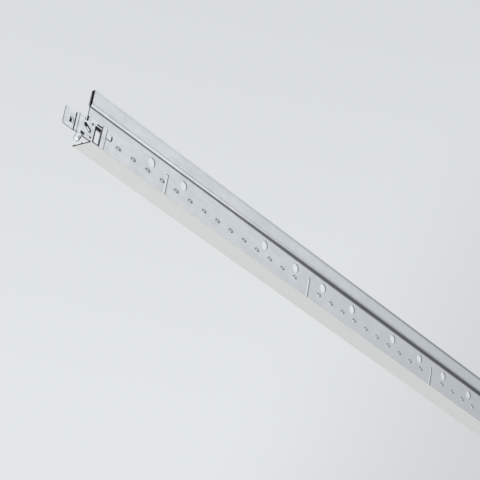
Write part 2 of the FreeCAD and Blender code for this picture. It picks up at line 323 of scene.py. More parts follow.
def galvanised_steel(scene):
    """Hot-dip galvanised strip, skin-passed: a soft grey gleam with faint spangle and rolling streaks."""
    colours, strip = scene.tee_finishes, scene.tee_strip
    material, tree = new_finish("hot_dip_galvanised_steel")
    place = add_node(tree, "ShaderNodeTexCoord").outputs["Object"]
    # Streaks that the rolls have left along the strip
    streak_length, streak_width = 90 * MM, 1.2 * MM
    scale = (1 / streak_length, 1 / streak_width, 1 / streak_width)
    along = add_node(tree, "ShaderNodeMapping", {"Vector": place, "Scale": scale})
    streaks = add_node(tree, "ShaderNodeTexNoise", {"Vector": along, "Scale": 1.0, "Detail": 3.0})
    # Spangle is under 1 mm on such strip; it is drawn larger, or it would not show
    spangle_size = 4 * MM
    inputs = {"Vector": place, "Scale": 1 / spangle_size}
    spangle = add_node(tree, "ShaderNodeTexVoronoi", inputs, feature="SMOOTH_F1")
    flake = add_node(tree, "ShaderNodeSeparateColor", {"Color": spangle.outputs["Color"]})
    # Clouding of the zinc
    cloud_size = 25 * MM
    inputs = {"Vector": place, "Scale": 1 / cloud_size, "Detail": 4.0}
    clouds = add_node(tree, "ShaderNodeTexNoise", inputs)
    mixed = add_node(tree, "ShaderNodeMix", {"Factor": 0.35, "A": streaks, "B": flake}, data_type="FLOAT")
    tone = add_node(tree, "ShaderNodeMix", {"Factor": 0.4, "A": mixed, "B": clouds}, data_type="FLOAT")
    spread = add_node(tree, "ShaderNodeMapRange", {"Value": tone, "From Min": 0.3, "From Max": 0.7})
    inputs = {"Factor": spread, "A": (*colours.zinc_dark, 1), "B": (*colours.zinc_light, 1)}
    zinc = add_node(tree, "ShaderNodeMix", inputs, data_type="RGBA")

    # Painted shade along the bends of the bulb, darker and wider away from the tee's ends
    parts = add_node(tree, "ShaderNodeSeparateXYZ", {"Vector": place})
    off_middle = add_node(tree, "ShaderNodeMath", {0: parts.outputs["X"]}, operation="ABSOLUTE")
    end, end_zone = strip.stock_length / 2, 60 * MM

    def inward(first, last, reach=290 * MM):
        """Goes smoothly from first, near the tee's end, to last, at a reach from the tee's end."""
        inputs = {
            "Value": off_middle,
            "From Min": end - end_zone,
            "From Max": end - reach,
            "To Min": first,
            "To Max": last,
        }
        return add_node(tree, "ShaderNodeMapRange", inputs, interpolation_type="SMOOTHSTEP")

    def painted_shade_band(share, *sides):
        """Band of painted shade along the strip; each side sets in at its first height and is full at its
        second.
        """
        for start, full in sides:
            inputs = {"Value": parts.outputs["Z"], "From Min": start, "From Max": full}
            side = add_node(tree, "ShaderNodeMapRange", inputs, interpolation_type="SMOOTHSTEP")
            share = add_node(tree, "ShaderNodeMath", {0: share, 1: side}, operation="MULTIPLY")
        return share

    neck, shoulder, top = strip.neck_z, strip.shoulder_z, strip.height
    bands = [
        # Painted shade in the bend under the bulb, where the band gets wider away from the ends
        painted_shade_band(
            inward(0.82, 0.875),
            (inward(neck - 0.1 * MM, neck - 1.3 * MM), inward(neck + 0.45 * MM, neck + 0.3 * MM)),
            (inward(neck + 1.6 * MM, neck + 3.6 * MM), inward(neck + 0.8 * MM, neck + 1.4 * MM)),
        ),
        # Painted shade in the bend at its shoulder, where the line is faint
        painted_shade_band(
            0.23,
            (shoulder - 0.9 * MM, shoulder - 0.3 * MM),
            (shoulder + 0.9 * MM, shoulder + 0.3 * MM),
        ),
        # Painted shade in the bends at the top of the bulb
        painted_shade_band(
            inward(0.07, 0.525, 420 * MM),
            (top - 2.4 * MM, top - 1.5 * MM),
            (top - 0.1 * MM, top - 0.7 * MM),
        ),
    ]
    # Painted shade too on the walls of the lock stitches and on the web's end beside the clip
    crease_shade = add_node(tree, "ShaderNodeAttribute", attribute_name="strain").outputs["Fac"]
    for band in bands:
        crease_shade = add_node(tree, "ShaderNodeMath", {0: crease_shade, 1: band}, operation="MAXIMUM")
    inputs = {"Factor": crease_shade, "A": zinc, "B": (*colours.crease_shade, 1)}
    skin = add_node(tree, "ShaderNodeMix", inputs, data_type="RGBA")
    rough = add_node(tree, "ShaderNodeMapRange", {"Value": spread, "To Min": 0.44, "To Max": 0.34})
    bump = add_node(tree, "ShaderNodeBump", {"Height": mixed, "Strength": 0.12, "Distance": 0.03 * MM})
    inputs = {"Base Color": skin, "Metallic": 1.0, "Roughness": rough, "Normal": bump}
    shader = add_node(tree, "ShaderNodeBsdfPrincipled", inputs)
    add_node(tree, "ShaderNodeOutputMaterial", {"Surface": shader})
    return material


def cut_edge(name, tint):
    """Cut edge of the strip: torn across, with a dark hairline where the two layers of the web meet."""
    material, tree = new_finish(name)
    place = add_node(tree, "ShaderNodeTexCoord").outputs["Object"]
    # Tear marks, drawn across the thickness of the strip
    tear_width, tear_length = 0.3 * MM, 3 * MM
    scale = (1 / tear_width, 1 / tear_length, 1 / tear_width)
    across = add_node(tree, "ShaderNodeMapping", {"Vector": place, "Scale": scale})
    tears = add_node(tree, "ShaderNodeTexNoise", {"Vector": across, "Scale": 1.0, "Detail": 2.0})
    side = add_node(tree, "ShaderNodeSeparateXYZ", {"Vector": place}).outputs["Y"]
    off_middle = add_node(tree, "ShaderNodeMath", {0: side}, operation="ABSOLUTE")
    inputs = {"From Min": 0.02 * MM, "From Max": 0.05 * MM, "To Min": 0.15, "To Max": 1.0}
    seam = add_node(tree, "ShaderNodeMapRange", {"Value": off_middle, **inputs})
    inputs = {"From Min": 0.3, "From Max": 0.7, "To Min": 0.65, "To Max": 1.25}
    lights = add_node(tree, "ShaderNodeMapRange", {"Value": tears, **inputs})
    level = add_node(tree, "ShaderNodeMath", {0: seam, 1: lights}, operation="MULTIPLY")
    steel = add_node(tree, "ShaderNodeVectorMath", {0: tuple(tint), "Scale": level}, operation="SCALE")
    bump = add_node(tree, "ShaderNodeBump", {"Height": tears, "Strength": 0.3, "Distance": 0.03 * MM})
    inputs = {"Base Color": steel, "Metallic": 1.0, "Roughness": 0.5, "Normal": bump}
    shader = add_node(tree, "ShaderNodeBsdfPrincipled", inputs)
    add_node(tree, "ShaderNodeOutputMaterial", {"Surface": shader})
    return material


def sheared_steel(scene):
    """Bare steel where the stock is cut to length: torn, and dark with painted shade."""
    return cut_edge("sheared_steel_end", scene.tee_finishes.sheared)


def wiped_zinc(scene):
    """Punched wall: the punch has wiped some zinc over the steel, so it is half bright."""
    return cut_edge("zinc_wiped_edge", scene.tee_finishes.wiped)


def dull_zinc(scene):
    """Inside of the bulb: matt zinc in pale clouds at the mouth, and painted shade further in and under
    the bulb's top.
    """
    colours, strip = scene.tee_finishes, scene.tee_strip
    material, tree = new_finish("matt_zinc_inside")
    place = add_node(tree, "ShaderNodeTexCoord").outputs["Object"]
    cloud_size = 8 * MM
    inputs = {"Vector": place, "Scale": 1 / cloud_size, "Detail": 3.0}
    clouds = add_node(tree, "ShaderNodeTexNoise", inputs)
    lights = add_node(tree, "ShaderNodeMapRange", {"Value": clouds, "To Min": 0.85, "To Max": 1.1})
    parts = add_node(tree, "ShaderNodeSeparateXYZ", {"Vector": place})
    off_middle = add_node(tree, "ShaderNodeMath", {0: parts.outputs["X"]}, operation="ABSOLUTE")
    # The painted shade starts just behind the mouth, and right at it under the bulb's top
    end, top = strip.stock_length / 2, strip.height
    inputs = {"Value": off_middle, "From Min": end - 0.3 * MM, "From Max": end - 0.7 * MM}
    deep = add_node(tree, "ShaderNodeMapRange", inputs)
    inputs = {"Value": parts.outputs["Z"], "From Min": top - 1.4 * MM, "From Max": top - 0.8 * MM}
    high = add_node(tree, "ShaderNodeMapRange", inputs)
    inside_shade = add_node(tree, "ShaderNodeMath", {0: deep, 1: high}, operation="MAXIMUM")
    inputs = {"Factor": inside_shade, "A": (*colours.mouth, 1), "B": (*colours.inside, 1)}
    skin = add_node(tree, "ShaderNodeMix", inputs, data_type="RGBA")
    zinc = add_node(tree, "ShaderNodeVectorMath", {0: skin, "Scale": lights}, operation="SCALE")
    shader = add_node(tree, "ShaderNodeBsdfPrincipled", {"Base Color": zinc, "Roughness": 0.8})
    add_node(tree, "ShaderNodeOutputMaterial", {"Surface": shader})
    return material


def polyester_enamel(scene):
    """Coil-coated white polyester: satin, with a faint orange peel and slight changes of the film."""
    colours = scene.tee_finishes
    material, tree = new_finish("white_polyester_coil_coat")
    place = add_node(tree, "ShaderNodeTexCoord").outputs["Object"]
    # Bands along the strip in which the film is thicker or thinner
    band_length, band_width = 120 * MM, 3 * MM
    scale = (1 / band_length, 1 / band_width, 1 / band_width)
    along = add_node(tree, "ShaderNodeMapping", {"Vector": place, "Scale": scale})
    film = add_node(tree, "ShaderNodeTexNoise", {"Vector": along, "Scale": 1.0, "Detail": 2.0})
    # Orange peel, from crest to crest
    peel_size = 1.5 * MM
    peel = add_node(tree, "ShaderNodeTexNoise", {"Vector": place, "Scale": 1 / peel_size, "Detail": 1.0})
    inputs = {"Factor": film, "A": (*colours.enamel_shade, 1), "B": (*colours.enamel, 1)}
    white = add_node(tree, "ShaderNodeMix", inputs, data_type="RGBA")
    rough = add_node(tree, "ShaderNodeMapRange", {"Value": film, "To Min": 0.36, "To Max": 0.5})
    bump = add_node(tree, "ShaderNodeBump", {"Height": peel, "Strength": 0.1, "Distance": 0.02 * MM})
    inputs = {"Base Color": white, "Roughness": rough, "IOR": 1.5, "Normal": bump}
    shader = add_node(tree, "ShaderNodeBsdfPrincipled", inputs)
    add_node(tree, "ShaderNodeOutputMaterial", {"Surface": shader})
    return material


def plated_spring_steel(scene):
    """Zinc-plated spring steel: brighter than the strip, with small dull patches and stamping scuffs."""
    colours = scene.tee_finishes
    material, tree = new_finish("zinc_plated_spring_steel")
    place = add_node(tree, "ShaderNodeTexCoord").outputs["Object"]
    # Dull patches from the plating barrel
    patch_size = 2.5 * MM
    inputs = {"Vector": place, "Scale": 1 / patch_size, "Detail": 3.0}
    patches = add_node(tree, "ShaderNodeTexNoise", inputs)
    # Stamping scuffs across the clip
    scuff_width, scuff_length = 0.25 * MM, 4 * MM
    scale = (1 / scuff_width, 1 / scuff_length, 1 / scuff_length)
    across = add_node(tree, "ShaderNodeMapping", {"Vector": place, "Scale": scale})
    scuffs = add_node(tree, "ShaderNodeTexNoise", {"Vector": across, "Scale": 1.0, "Detail": 2.0})
    tone = add_node(tree, "ShaderNodeMix", {"Factor": 0.4, "A": patches, "B": scuffs}, data_type="FLOAT")
    spread = add_node(tree, "ShaderNodeMapRange", {"Value": tone, "From Min": 0.35, "From Max": 0.6})
    inputs = {"Factor": spread, "A": (*colours.plating_dark, 1), "B": (*colours.plating_light, 1)}
    plating = add_node(tree, "ShaderNodeMix", inputs, data_type="RGBA")
    # Painted shade on edges and marks, partly plating that the die has rubbed off
    wear = add_node(tree, "ShaderNodeAttribute", attribute_name="wear").outputs["Fac"]
    inputs = {"Factor": wear, "A": plating, "B": (*colours.spring, 1)}
    skin = add_node(tree, "ShaderNodeMix", inputs, data_type="RGBA")
    rough = add_node(tree, "ShaderNodeMapRange", {"Value": spread, "To Min": 0.36, "To Max": 0.22})
    bump = add_node(tree, "ShaderNodeBump", {"Height": tone, "Strength": 0.15, "Distance": 0.02 * MM})
    inputs = {"Base Color": skin, "Metallic": 1.0, "Roughness": rough, "Normal": bump}
    shader = add_node(tree, "ShaderNodeBsdfPrincipled", inputs)
    add_node(tree, "ShaderNodeOutputMaterial", {"Surface": shader})
    return material


def finish(name):
    """A finish by its material's name, made the first time that it is asked for."""
    makers = {
        "hot_dip_galvanised_steel": galvanised_steel,
        "sheared_steel_end": sheared_steel,
        "zinc_wiped_edge": wiped_zinc,
        "matt_zinc_inside": dull_zinc,
        "white_polyester_coil_coat": polyester_enamel,
        "zinc_plated_spring_steel": plated_spring_steel,
    }
    return bpy.data.materials.get(name) or makers[name](bpy.context.scene)


def rounded(corners, steps):
    """Points through (a, b, radius) corners of an open line, with each bend drawn in steps."""
    points = []
    for i, (a, b, radius) in enumerate(corners):
        here = Vector((a, b))
        if radius == 0 or i in (0, len(corners) - 1):
            points.append(here)
            continue
        before = (Vector(corners[i - 1][:2]) - here).normalized()
        after = (Vector(corners[i + 1][:2]) - here).normalized()
        half = before.angle(after) / 2
        centre = here + (before + after).normalized() * (radius / math.sin(half))
        start = here + before * (radius / math.tan(half)) - centre
        end = here + after * (radius / math.tan(half)) - centre
        turn = start.angle_signed(end)
        for k in range(steps + 1):
            points.append(centre + start @ Matrix.Rotation(turn * k / steps, 2))
    return points


def rounded_loop(corners, steps):
    """Closed form of the same line: every corner is rounded."""
    line = rounded([corners[-1], *corners, corners[0]], steps)
    return line[1:-1]


def as_mesh(bm, name):
    """Mesh of what has been built, which is then let go."""
    mesh = bpy.data.meshes.new(name)
    bm.to_mesh(mesh)
    bm.free()
    return mesh


def plain_piece(name, mesh, materials):
    """Object at the origin, in the scene, with its finishes."""
    for material in materials:
        mesh.materials.append(finish(material))
    piece = bpy.data.objects.new(name, mesh)
    bpy.context.scene.collection.objects.link(piece)
    return piece


def made_plain(source, name):
    """Plain mesh of an object with its modifiers; the object itself is removed."""
    graph = bpy.context.evaluated_depsgraph_get()
    mesh = bpy.data.meshes.new_from_object(source.evaluated_get(graph), depsgraph=graph)
    mesh.name = name
    bpy.data.objects.remove(source)
    return mesh


def web_outline(strip, punch, low_z, gap_z, high_z):
    """Curve round the web, with a notch at each end; its Y is the height."""
    end = strip.stock_length / 2
    inner = end - punch.notch_x
    low, high = punch.notch_bottom_z, punch.notch_top_z
    right = [
        (end, low_z), (end, low), (inner, low), (inner, high), (end, high), (end, gap_z), (end, high_z)
    ]
    points = right + [(-x, z) for x, z in reversed(right)]
    curve = bpy.data.curves.new("web_outline", "CURVE")
    spline = curve.splines.new("POLY")
    spline.points.add(len(points) - 1)
    for point, (x, z) in zip(spline.points, points):
        point.co = (x, z, 0, 1)
    spline.use_cyclic_u = True
    outline = bpy.data.objects.new("web_outline", curve)
    bpy.context.scene.collection.objects.link(outline)
    return outline


STITCH_SIDES, HOLE_SIDES = 12, 32
PUNCH_CORNER = 5                # points round a punched corner
# Share of painted shade on the wall of a stitch's cup
CUP_SHADE = 0.58               # how dull the stretched wall of a stitch is, from 0 to 1
STITCH_ROUND = 1.02             # reach round a stitch, as a share of its radius
BUTTON_WALL = 0.75              # share of a button's height that is wall; the rest is crown
# Shares of its width that a stitch keeps at its lip and floor, and its button at rim and crown
LIP_SHARE, FLOOR_SHARE, RIM_SHARE, CROWN_SHARE = 0.86, 0.45, 0.92, 0.72


def punched_web_tree(values):
    """Node tree that punches the web's outline, gives it its thickness and sets in the lock stitches.

    Each of the values becomes a named input.
    """
    tree = bpy.data.node_groups.new("punched_web", "GeometryNodeTree")
    sockets = tree.interface
    sockets.new_socket("Outline", in_out="INPUT", socket_type="NodeSocketGeometry")
    kinds = {float: "NodeSocketFloat", int: "NodeSocketInt", bpy.types.Material: "NodeSocketMaterial"}
    for name, value in values.items():
        sockets.new_socket(name, in_out="INPUT", socket_type=kinds[type(value)])
    sockets.new_socket("Web", in_out="OUTPUT", socket_type="NodeSocketGeometry")
    given = dict(add_node(tree, "NodeGroupInput").outputs.items())

    # Sizes and places that follow from the given ones
    for name, size, operation, other in (
        ("Second slot", "First slot", "ADD", "Slot pitch"),
        ("Slots between", "Slots", "SUBTRACT", 2.0),
        ("Inner hole before", "First slot", "SUBTRACT", "Inner holes"),
        ("Inner hole after", "First slot", "ADD", "Inner holes"),
        ("Outer hole before", "Second slot", "SUBTRACT", "Outer holes"),
        ("Outer hole after", "Second slot", "ADD", "Outer holes"),
        ("Half pitch", "Slot pitch", "MULTIPLY", 0.5),
        ("Half web", "Web thickness", "MULTIPLY", 0.5),
        ("Far side", "Half web", "MULTIPLY", -1.0),
        ("Stitch reach", "Stitch radius", "MULTIPLY", STITCH_ROUND),
        ("Stitch sinking", "Stitch depth", "MULTIPLY", -1.0),
        ("Button wall", "Stitch button", "MULTIPLY", BUTTON_WALL),
        ("Button crown", "Stitch button", "MULTIPLY", 1 - BUTTON_WALL),
    ):
        inputs = {0: given[size], 1: given.get(other, other)}
        given[name] = add_node(tree, "ShaderNodeMath", inputs, operation=operation)

    def row(*names):
        """Points in a row along the stock, by the names of its start, height, pitch and count."""
        start, height, pitch, count = (given.get(name, name) for name in names)
        first = add_node(tree, "ShaderNodeCombineXYZ", {"X": start, "Y": height})
        step = add_node(tree, "ShaderNodeCombineXYZ", {"X": pitch})
        inputs = {"Count": count, "Start Location": first, "Offset": step}
        return add_node(tree, "GeometryNodeMeshLine", inputs, mode="OFFSET")

    def oblong(name):
        """Upright rectangle with rounded corners, by the name of what it cuts."""
        inputs = {"Width": given[f"{name} width"], "Height": given[f"{name} height"]}
        box = add_node(tree, "GeometryNodeCurvePrimitiveQuadrilateral", inputs)
        inputs = {"Curve": box, "Radius": given[f"{name} corner"], "Count": PUNCH_CORNER}
        return add_node(tree, "GeometryNodeFilletCurve", inputs, mode="POLY")

    # A stitch is left out where a slot has been punched through its place
    stitch_row = row("First stitch", "Stitch height", "Stitch pitch", "Stitches")
    place = add_node(tree, "GeometryNodeInputPosition")
    along = add_node(tree, "ShaderNodeSeparateXYZ", {0: place}).outputs["X"]
    past = add_node(tree, "ShaderNodeMath", {0: along, 1: given["First slot"]}, operation="SUBTRACT")
    to_slot = add_node(tree, "ShaderNodeMath", {0: past, 1: given["Half pitch"]}, operation="PINGPONG")
    inputs = {"A": to_slot, "B": given["Stitch room"]}
    crowded = add_node(tree, "FunctionNodeCompare", inputs, operation="LESS_THAN")
    inputs = {"Geometry": stitch_row, "Selection": crowded}
    stitch_points = add_node(tree, "GeometryNodeDeleteGeometry", inputs)
    inputs = {"Resolution": STITCH_SIDES, "Radius": given["Stitch radius"]}
    stitch_ring = add_node(tree, "GeometryNodeCurvePrimitiveCircle", inputs)
    flatter = add_node(tree, "ShaderNodeCombineXYZ", {"X": 1.0, "Y": given["Stitch share"], "Z": 1.0})
    stitch_rim = add_node(tree, "GeometryNodeTransform", {0: stitch_ring, "Scale": flatter})

    inputs = {"Resolution": HOLE_SIDES, "Radius": given["Hole radius"]}
    hole = add_node(tree, "GeometryNodeCurvePrimitiveCircle", inputs)
    curves = [given["Outline"]]
    for points, shape in (
        (row("First slot", "Slot middle", "Slot pitch", "Slots"), oblong("Slot")),
        (row("First window", "Window middle", "Window spacing", 2), oblong("Window")),
        (row("Inner hole before", "Hole height", "Slot pitch", "Slots"), hole),
        (row("Inner hole after", "Hole height", "Slot pitch", "Slots"), hole),
        # The first and the last slot have no outer holes
        (row("Outer hole before", "Hole height", "Slot pitch", "Slots between"), hole),
        (row("Outer hole after", "Hole height", "Slot pitch", "Slots between"), hole),
        (stitch_points, stitch_rim),
    ):
        inputs = {"Points": points, "Instance": shape}
        curves.append(add_node(tree, "GeometryNodeInstanceOnPoints", inputs))
    cut = add_node(tree, "GeometryNodeJoinGeometry", {0: curves})
    flat = add_node(tree, "GeometryNodeRealizeInstances", {0: cut})
    filled = add_node(tree, "GeometryNodeFillCurve", {"Curve": flat}, mode="TRIANGLES")

    # The filled outline is the far side, and its copy, raised by the web's thickness, the near one
    down = add_node(tree, "ShaderNodeCombineXYZ", {"Z": given["Far side"]})
    up = add_node(tree, "ShaderNodeCombineXYZ", {"Z": given["Half web"]})
    far = add_node(tree, "GeometryNodeTransform", {0: filled, "Translation": down})
    inputs = {"Mesh": far, "Offset Scale": given["Web thickness"], "Individual": False}
    thick = add_node(tree, "GeometryNodeExtrudeMesh", inputs)
    wall = thick.outputs["Side"]
    inputs = {0: thick, "Name": "sheared", "Value": wall}
    walled = add_node(tree, "GeometryNodeStoreNamedAttribute", inputs, data_type="BOOLEAN", domain="FACE")
    # A stitch joins the layers and has no wall of its own
    near_stitch = add_node(tree, "GeometryNodeProximity", {0: stitch_points}, target_element="POINTS")
    inputs = {"A": near_stitch.outputs["Distance"], "B": given["Stitch reach"]}
    inside = add_node(tree, "FunctionNodeCompare", inputs, operation="LESS_THAN")
    open_wall = add_node(tree, "FunctionNodeBooleanMath", {0: inside, 1: wall}, operation="AND")
    inputs = {"Geometry": walled, "Selection": open_wall}
    open_web = add_node(tree, "GeometryNodeDeleteGeometry", inputs, domain="FACE")
    back = add_node(tree, "GeometryNodeFlipFaces", {"Mesh": far})

    def pressed(*moves):
        """A disc of the stitch's size on the near side, pressed in steps of (offset, scale)."""
        inputs = {"Vertices": STITCH_SIDES, "Radius": given["Stitch radius"]}
        disc = add_node(tree, "GeometryNodeMeshCircle", inputs, fill_type="NGON")
        mesh = add_node(tree, "GeometryNodeTransform", {0: disc, "Translation": up, "Scale": flatter})
        top = True
        for offset, scale in moves:
            inputs = {"Mesh": mesh, "Selection": top, "Offset Scale": given[offset], "Individual": False}
            step = add_node(tree, "GeometryNodeExtrudeMesh", inputs)
            top = step.outputs["Top"]
            inputs = {"Geometry": step, "Selection": top, "Scale": scale}
            mesh = add_node(tree, "GeometryNodeScaleElements", inputs)
        return mesh, step.outputs["Side"]

    # A rolled lip with a sunk floor on the near side, and a crowned button on the far side
    cup, cup_wall = pressed(("Stitch lip", LIP_SHARE), ("Stitch sinking", FLOOR_SHARE))
    # The wall of the cup gets painted shade
    strain = add_node(tree, "ShaderNodeMath", {0: cup_wall, 1: CUP_SHADE}, operation="MULTIPLY")
    inputs = {0: cup, "Name": "strain", "Value": strain}
    shaded_cup = add_node(tree, "GeometryNodeStoreNamedAttribute", inputs, data_type="FLOAT", domain="FACE")
    button, _ = pressed(("Button wall", RIM_SHARE), ("Button crown", CROWN_SHARE))
    turned = add_node(tree, "GeometryNodeTransform", {0: button, "Rotation": (math.pi, 0, 0)})
    stitch = add_node(tree, "GeometryNodeJoinGeometry", {0: [shaded_cup, turned]})
    inputs = {"Points": stitch_points, "Instance": stitch}
    stitches = add_node(tree, "GeometryNodeInstanceOnPoints", inputs)

    whole = add_node(tree, "GeometryNodeJoinGeometry", {0: [open_web, back, stitches]})
    upright = add_node(tree, "GeometryNodeTransform", {0: whole, "Rotation": (math.pi / 2, 0, 0)})
    real = add_node(tree, "GeometryNodeRealizeInstances", {0: upright})
    inputs = {"Geometry": real, "Material": given["Strip finish"]}
    zinc = add_node(tree, "GeometryNodeSetMaterial", inputs)
    sheared = add_node(tree, "GeometryNodeInputNamedAttribute", {"Name": "sheared"}, data_type="BOOLEAN")
    inputs = {"Geometry": zinc, "Selection": sheared, "Material": given["Edge finish"]}
    edged = add_node(tree, "GeometryNodeSetMaterial", inputs)
    add_node(tree, "NodeGroupOutput", {"Web": edged})
    return tree


def punched_web(strip, punch, low_z, gap_z, high_z):
    """Plain mesh of the web with its slots, holes, windows and stitches."""
    end = strip.stock_length / 2
    window_middle = punch.window_x + punch.window_width / 2
    values = {
        "Web thickness": 2 * strip.gauge,
        "Slot pitch": punch.slot_pitch,
        "First slot": -end + punch.slot_pitch / 2,
        "Slot width": punch.slot_width,
        "Slot height": punch.slot_top_z - punch.slot_bottom_z,
        "Slot middle": (punch.slot_top_z + punch.slot_bottom_z) / 2,
        "Slot corner": punch.slot_corner,
        "Slots": punch.slot_count,
        "Hole radius": punch.hole_diameter / 2,
        "Hole height": punch.hole_z,
        "Inner holes": punch.hole_inner,
        "Outer holes": punch.hole_outer,
        "First window": -end + window_middle,
        "Window spacing": 2 * (end - window_middle),
        "Window width": punch.window_width,
        "Window height": punch.window_top_z - punch.window_bottom_z,
        "Window middle": (punch.window_top_z + punch.window_bottom_z) / 2,
        "Window corner": punch.window_corner,
        "Stitch pitch": punch.stitch_pitch,
        "First stitch": -end + punch.stitch_first_x,
        "Stitch height": punch.stitch_z,
        "Stitch radius": punch.stitch_length / 2,
        "Stitch share": punch.stitch_width / punch.stitch_length,
        "Stitch room": (punch.slot_width + punch.stitch_length) / 2 + punch.stitch_margin,
        "Stitch lip": punch.stitch_lip,
        "Stitch depth": punch.stitch_depth,
        "Stitch button": punch.stitch_button,
        "Stitches": int((strip.stock_length - 2 * punch.stitch_first_x) / punch.stitch_pitch) + 1,
        "Strip finish": finish("hot_dip_galvanised_steel"),
        "Edge finish": finish("zinc_wiped_edge"),
    }
    source = web_outline(strip, punch, low_z, gap_z, high_z)
    modifier = source.modifiers.new("punched_web", "NODES")
    modifier.node_group = punched_web_tree(values)
    for item in modifier.node_group.interface.items_tree:
        if item.name in values:
            modifier[item.identifier] = values[item.name]
    return made_plain(source, "punched_web")


SKIN, SHEARED, WIPED, INSIDE = 0, 1, 2, 3       # places of the finishes of a strip


def extruded(bm, outer, inner, end, inner_finish=SKIN, end_finish=SHEARED):
    """Sheet between two lines of (y, z) points, run over the stock from -end to end."""
    rings = []
    for line in (outer, inner):
        rings.append([[bm.verts.new((x, p.x, p.y)) for p in line] for x in (-end, end)])
    for (left, right), place in zip(rings, (SKIN, inner_finish)):
        for i in range(len(left) - 1):
            bm.faces.new((left[i], left[i + 1], right[i + 1], right[i])).material_index = place
    for k in (0, 1):
        out, into = rings[0][k], rings[1][k]
        for i in range(len(out) - 1):
            bm.faces.new((out[i], out[i + 1], into[i + 1], into[i])).material_index = end_finish
    return rings


def bulb_lines(strip, seam_z):
    """Outer and inner line of the bulb, from the near side of the web over the top to the far side."""
    half_bulb = strip.bulb_width / 2
    gauge = strip.gauge
    slope = math.atan2(strip.shoulder_z - strip.neck_z, half_bulb - gauge)
    inner_half = half_bulb - gauge
    inner_shoulder = strip.shoulder_z + gauge * math.tan((math.pi / 2 - slope) / 2)
    inner_neck = inner_shoulder - inner_half * math.tan(slope)
    outer = [
        (gauge, seam_z, 0),
        (gauge, strip.neck_z, strip.neck_radius),
        (half_bulb, strip.shoulder_z, strip.shoulder_radius),
        (half_bulb, strip.height, strip.bulb_top_radius),
    ]
    inner = [
        (0, seam_z + gauge / 4, 0),
        (0, inner_neck, strip.neck_radius),
        (inner_half, inner_shoulder, strip.shoulder_radius - gauge),
        (inner_half, strip.height - gauge, strip.bulb_top_radius - gauge),
    ]
    lines = []
    for half in (outer, inner):
        near = [(-y, z, radius) for y, z, radius in half]
        lines.append(rounded([*near, *reversed(half)], ARC_STEPS))
    return lines


def flange_lines(strip, seam_z, side):
    """Upper and lower line of one flange, from the web out to its edge."""
    gauge, low = strip.gauge, strip.cap_gauge
    edge = strip.flange / 2 - strip.cap_gauge
    upper = [(gauge, seam_z, 0), (gauge, low + gauge, strip.root_radius), (edge, low + gauge, 0)]
    lower = [(0, seam_z - gauge / 4, 0), (0, low, strip.root_radius + gauge / 2), (edge, low, 0)]
    return [[Vector((side * p.x, p.y)) for p in rounded(line, ARC_STEPS)] for line in (upper, lower)]


def folded_strip(strip, punch, gap_z):
    """The whole strip: flanges, punched web and bulb as one closed skin."""
    end = strip.stock_length / 2
    low_z = strip.cap_gauge + strip.gauge + strip.root_radius
    high_z = strip.neck_z - strip.neck_radius / 2
    web = punched_web(strip, punch, low_z, gap_z, high_z)
    wall_finish = web.materials.find("zinc_wiped_edge")
    bm = bmesh.new()
    bm.from_mesh(web)
    bpy.data.meshes.remove(web)
    # The web's own edges towards flange and bulb lie inside the strip
    inside = [
        f for f in bm.faces
        if any(all(abs(v.co.z - edge) < WELD for v in f.verts) for edge in (low_z, high_z))
    ]
    bmesh.ops.delete(bm, geom=inside, context="FACES")
    strain = bm.faces.layers.float["strain"]
    for face in bm.faces:
        face.smooth = False
        face.material_index = WIPED if face.material_index == wall_finish else SKIN
        # Painted shade on the web's end beside the clip, where the clip has pushed the web's layers apart
        if all(abs(v.co.x) > end - WELD and v.co.z < gap_z + WELD for v in face.verts):
            face.material_index = SKIN
            face[strain] = 1.0
        # Painted light: the notch's top wall takes the bright zinc skin in place of the wiped edge
        elif all(abs(v.co.z - punch.notch_top_z) < WELD for v in face.verts):
            face.material_index = SKIN
    folds = [extruded(bm, *bulb_lines(strip, high_z), end, INSIDE, WIPED)]
    folds += [extruded(bm, *flange_lines(strip, low_z, side), end) for side in (-1, 1)]
    for rings in folds[1:]:
        (upper_left, upper_right), (lower_left, lower_right) = rings
        bm.faces.new((upper_left[-1], lower_left[-1], lower_right[-1], upper_right[-1]))
    # Closes the ends between the web and the bends above and below it
    (bulb_out, bulb_in), (near_up, near_low), (far_up, _) = folds
    for k in (0, 1):
        for corner in (
            (bulb_out[k][0], bulb_out[k][-1], bulb_in[k][0]),
            (near_up[k][0], far_up[k][0], near_low[k][0]),
        ):
            bm.faces.new(corner).material_index = WIPED
    bmesh.ops.remove_doubles(bm, verts=bm.verts[:], dist=WELD)
    # Where the two layers lie against each other the strip has no skin
    touching = [f for f in bm.faces if all(abs(v.co.y) < WELD / 10 for v in f.verts)]
    bmesh.ops.delete(bm, geom=touching, context="FACES")
    bmesh.ops.recalc_face_normals(bm, faces=bm.faces[:])
    mesh = as_mesh(bm, "folded_strip")
    mesh.attributes.remove(mesh.attributes["sheared"])
    return mesh


class TEE_OT_folded_strip(bpy.types.Operator):
    """Makes the galvanised strip: flanges, punched and stitched web, and bulb"""

    bl_idname = "tee.folded_strip"
    bl_label = "Folded strip"

    def execute(self, context):
        scene = context.scene
        mesh = folded_strip(scene.tee_strip, scene.tee_punch, scene.tee_clip.gap_top_z)
        finishes = ["hot_dip_galvanised_steel", "sheared_steel_end", "zinc_wiped_edge", "matt_zinc_inside"]
        piece = plain_piece("folded_strip", mesh, finishes)
        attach(piece, "root")
        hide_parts("tee_body")
        return {"FINISHED"}


